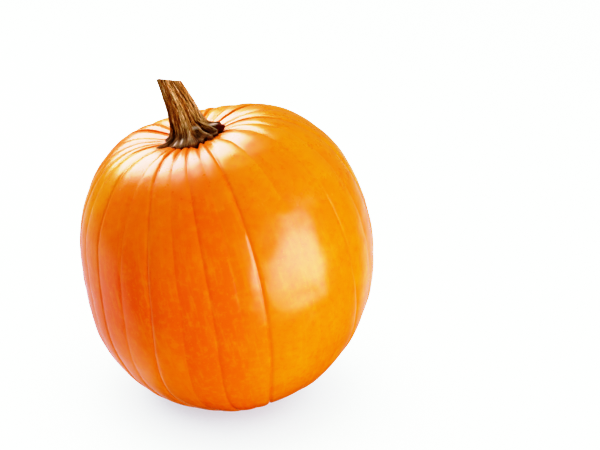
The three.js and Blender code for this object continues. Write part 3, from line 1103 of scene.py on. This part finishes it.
def feather(light, edges, slant):
    """Fade a box of light towards its edges, its inner side leaning by slant."""
    nodes = Nodes(light, "Emission")
    axes = nodes.split(nodes.new("NewGeometry").outputs["Parametric"])
    across, up = axes["X"], axes["Y"]
    leaning = nodes.minus(across, nodes.times(up, slant))
    inner, outer, foot, head = edges
    strength = nodes.times(nodes.ramp(leaning, inner), nodes.ramp(across, outer))
    strength = nodes.times(strength, nodes.ramp(up, foot))
    strength = nodes.times(strength, nodes.ramp(up, head))
    nodes.link(strength, nodes.shader.inputs["Strength"])


def softbox(name, azimuth, elevation, distance, size, fill, gloss, tint, shape):
    """A rectangle of light aimed at the fruit: one lamp for the skin's own colour
    and another for its gloss, each with its own brightness."""
    turn, rise = math.radians(azimuth), math.radians(elevation)
    level = math.cos(rise)
    toward = Vector((level * math.cos(turn), level * math.sin(turn), math.sin(rise)))
    width, height = size
    for part, strength, setback in (("fill", fill, FILL_SETBACK), ("gloss", gloss, 0.0)):
        data = bpy.data.lights.new(f"{name}_{part}", "AREA")
        data.shape = "RECTANGLE"
        data.size = width
        data.size_y = height
        data.energy = strength * math.pi * width * height
        data.color = tint if part == "gloss" else (1, 1, 1)
        obj = bpy.data.objects.new(data.name, data)
        bpy.context.scene.collection.objects.link(obj)
        obj.location = body_centre + toward * (distance + setback)
        obj.rotation_mode = "QUATERNION"
        obj.rotation_quaternion = toward.to_track_quat("Z", "Y")
        obj.visible_camera = False
        if part == "gloss":
            feather(data, *shape)
        obj.visible_glossy = part == "gloss"
        obj.visible_diffuse = part == "fill"


softbox(
    "overhead",
    azimuth=128,
    elevation=48,
    distance=1.0,
    size=(1.1, 1.1),
    fill=5.0,
    gloss=7.8,
    tint=(1.0, 0.96, 0.86),
    shape=OVERHEAD_SHAPE,
)
softbox(
    "window",
    azimuth=-44,
    elevation=5.5,
    distance=0.9,
    size=(1.05, 0.95),
    fill=5.9,
    gloss=4.6,
    tint=(1.0, 0.84, 0.93),
    shape=WINDOW_SHAPE,
)

# ---------------------------------------------------------------- camera
# Metres, but lens and sensor in millimetres.
VIEW_ELEVATION = math.radians(25)
VIEW_DISTANCE = 1.066
LENS = 85
SENSOR_WIDTH = 36
IMAGE_WIDTH, IMAGE_HEIGHT = 600, 450
# Where the middle of the fruit's body shows in the photo, in pixels.
CENTRE_PIXEL = (230.7, 258.5)

camera_data = bpy.data.cameras.new("camera")
camera_data.lens = LENS
camera_data.sensor_width = SENSOR_WIDTH
camera_data.shift_x = (IMAGE_WIDTH / 2 - CENTRE_PIXEL[0]) / IMAGE_WIDTH
camera_data.shift_y = (CENTRE_PIXEL[1] - IMAGE_HEIGHT / 2) / IMAGE_WIDTH
camera = bpy.data.objects.new("camera", camera_data)
bpy.context.scene.collection.objects.link(camera)
toward_camera = Vector((0, -math.cos(VIEW_ELEVATION), math.sin(VIEW_ELEVATION)))
camera.location = body_centre + toward_camera * VIEW_DISTANCE
camera.rotation_mode = "QUATERNION"
camera.rotation_quaternion = toward_camera.to_track_quat("Z", "Y")
bpy.context.scene.camera = camera

# ---------------------------------------------------------------- tone
# A contrasty product shot's tone: deep toe, gentle shoulder. Light in, light out.
TONE = (
    (0.06, 0.006),
    (0.13, 0.035),
    (0.23, 0.115),
    (0.4, 0.27),
    (0.55, 0.43),
    (0.8, 0.72),
    (1.1, 0.85),
    (1.8, 0.945),
)
TONE_WHITE = 2.8
# Then the blue is lifted a little in the middle, for peach highlights.
BLUE_TONE = ((0.02, 0.018), (0.24, 0.30), (0.6, 0.66), (0.93, 0.945))
BLUE_CURVE, WHOLE_CURVE = 2, 3

view_settings = bpy.context.scene.view_settings
view_settings.view_transform = "Standard"
view_settings.use_curve_mapping = True
mapping = view_settings.curve_mapping
mapping.white_level = (TONE_WHITE,) * 3
for light_in, light_out in TONE:
    mapping.curves[WHOLE_CURVE].points.new(light_in / TONE_WHITE, light_out)
for blue_in, blue_out in BLUE_TONE:
    mapping.curves[BLUE_CURVE].points.new(blue_in, blue_out)
mapping.update()
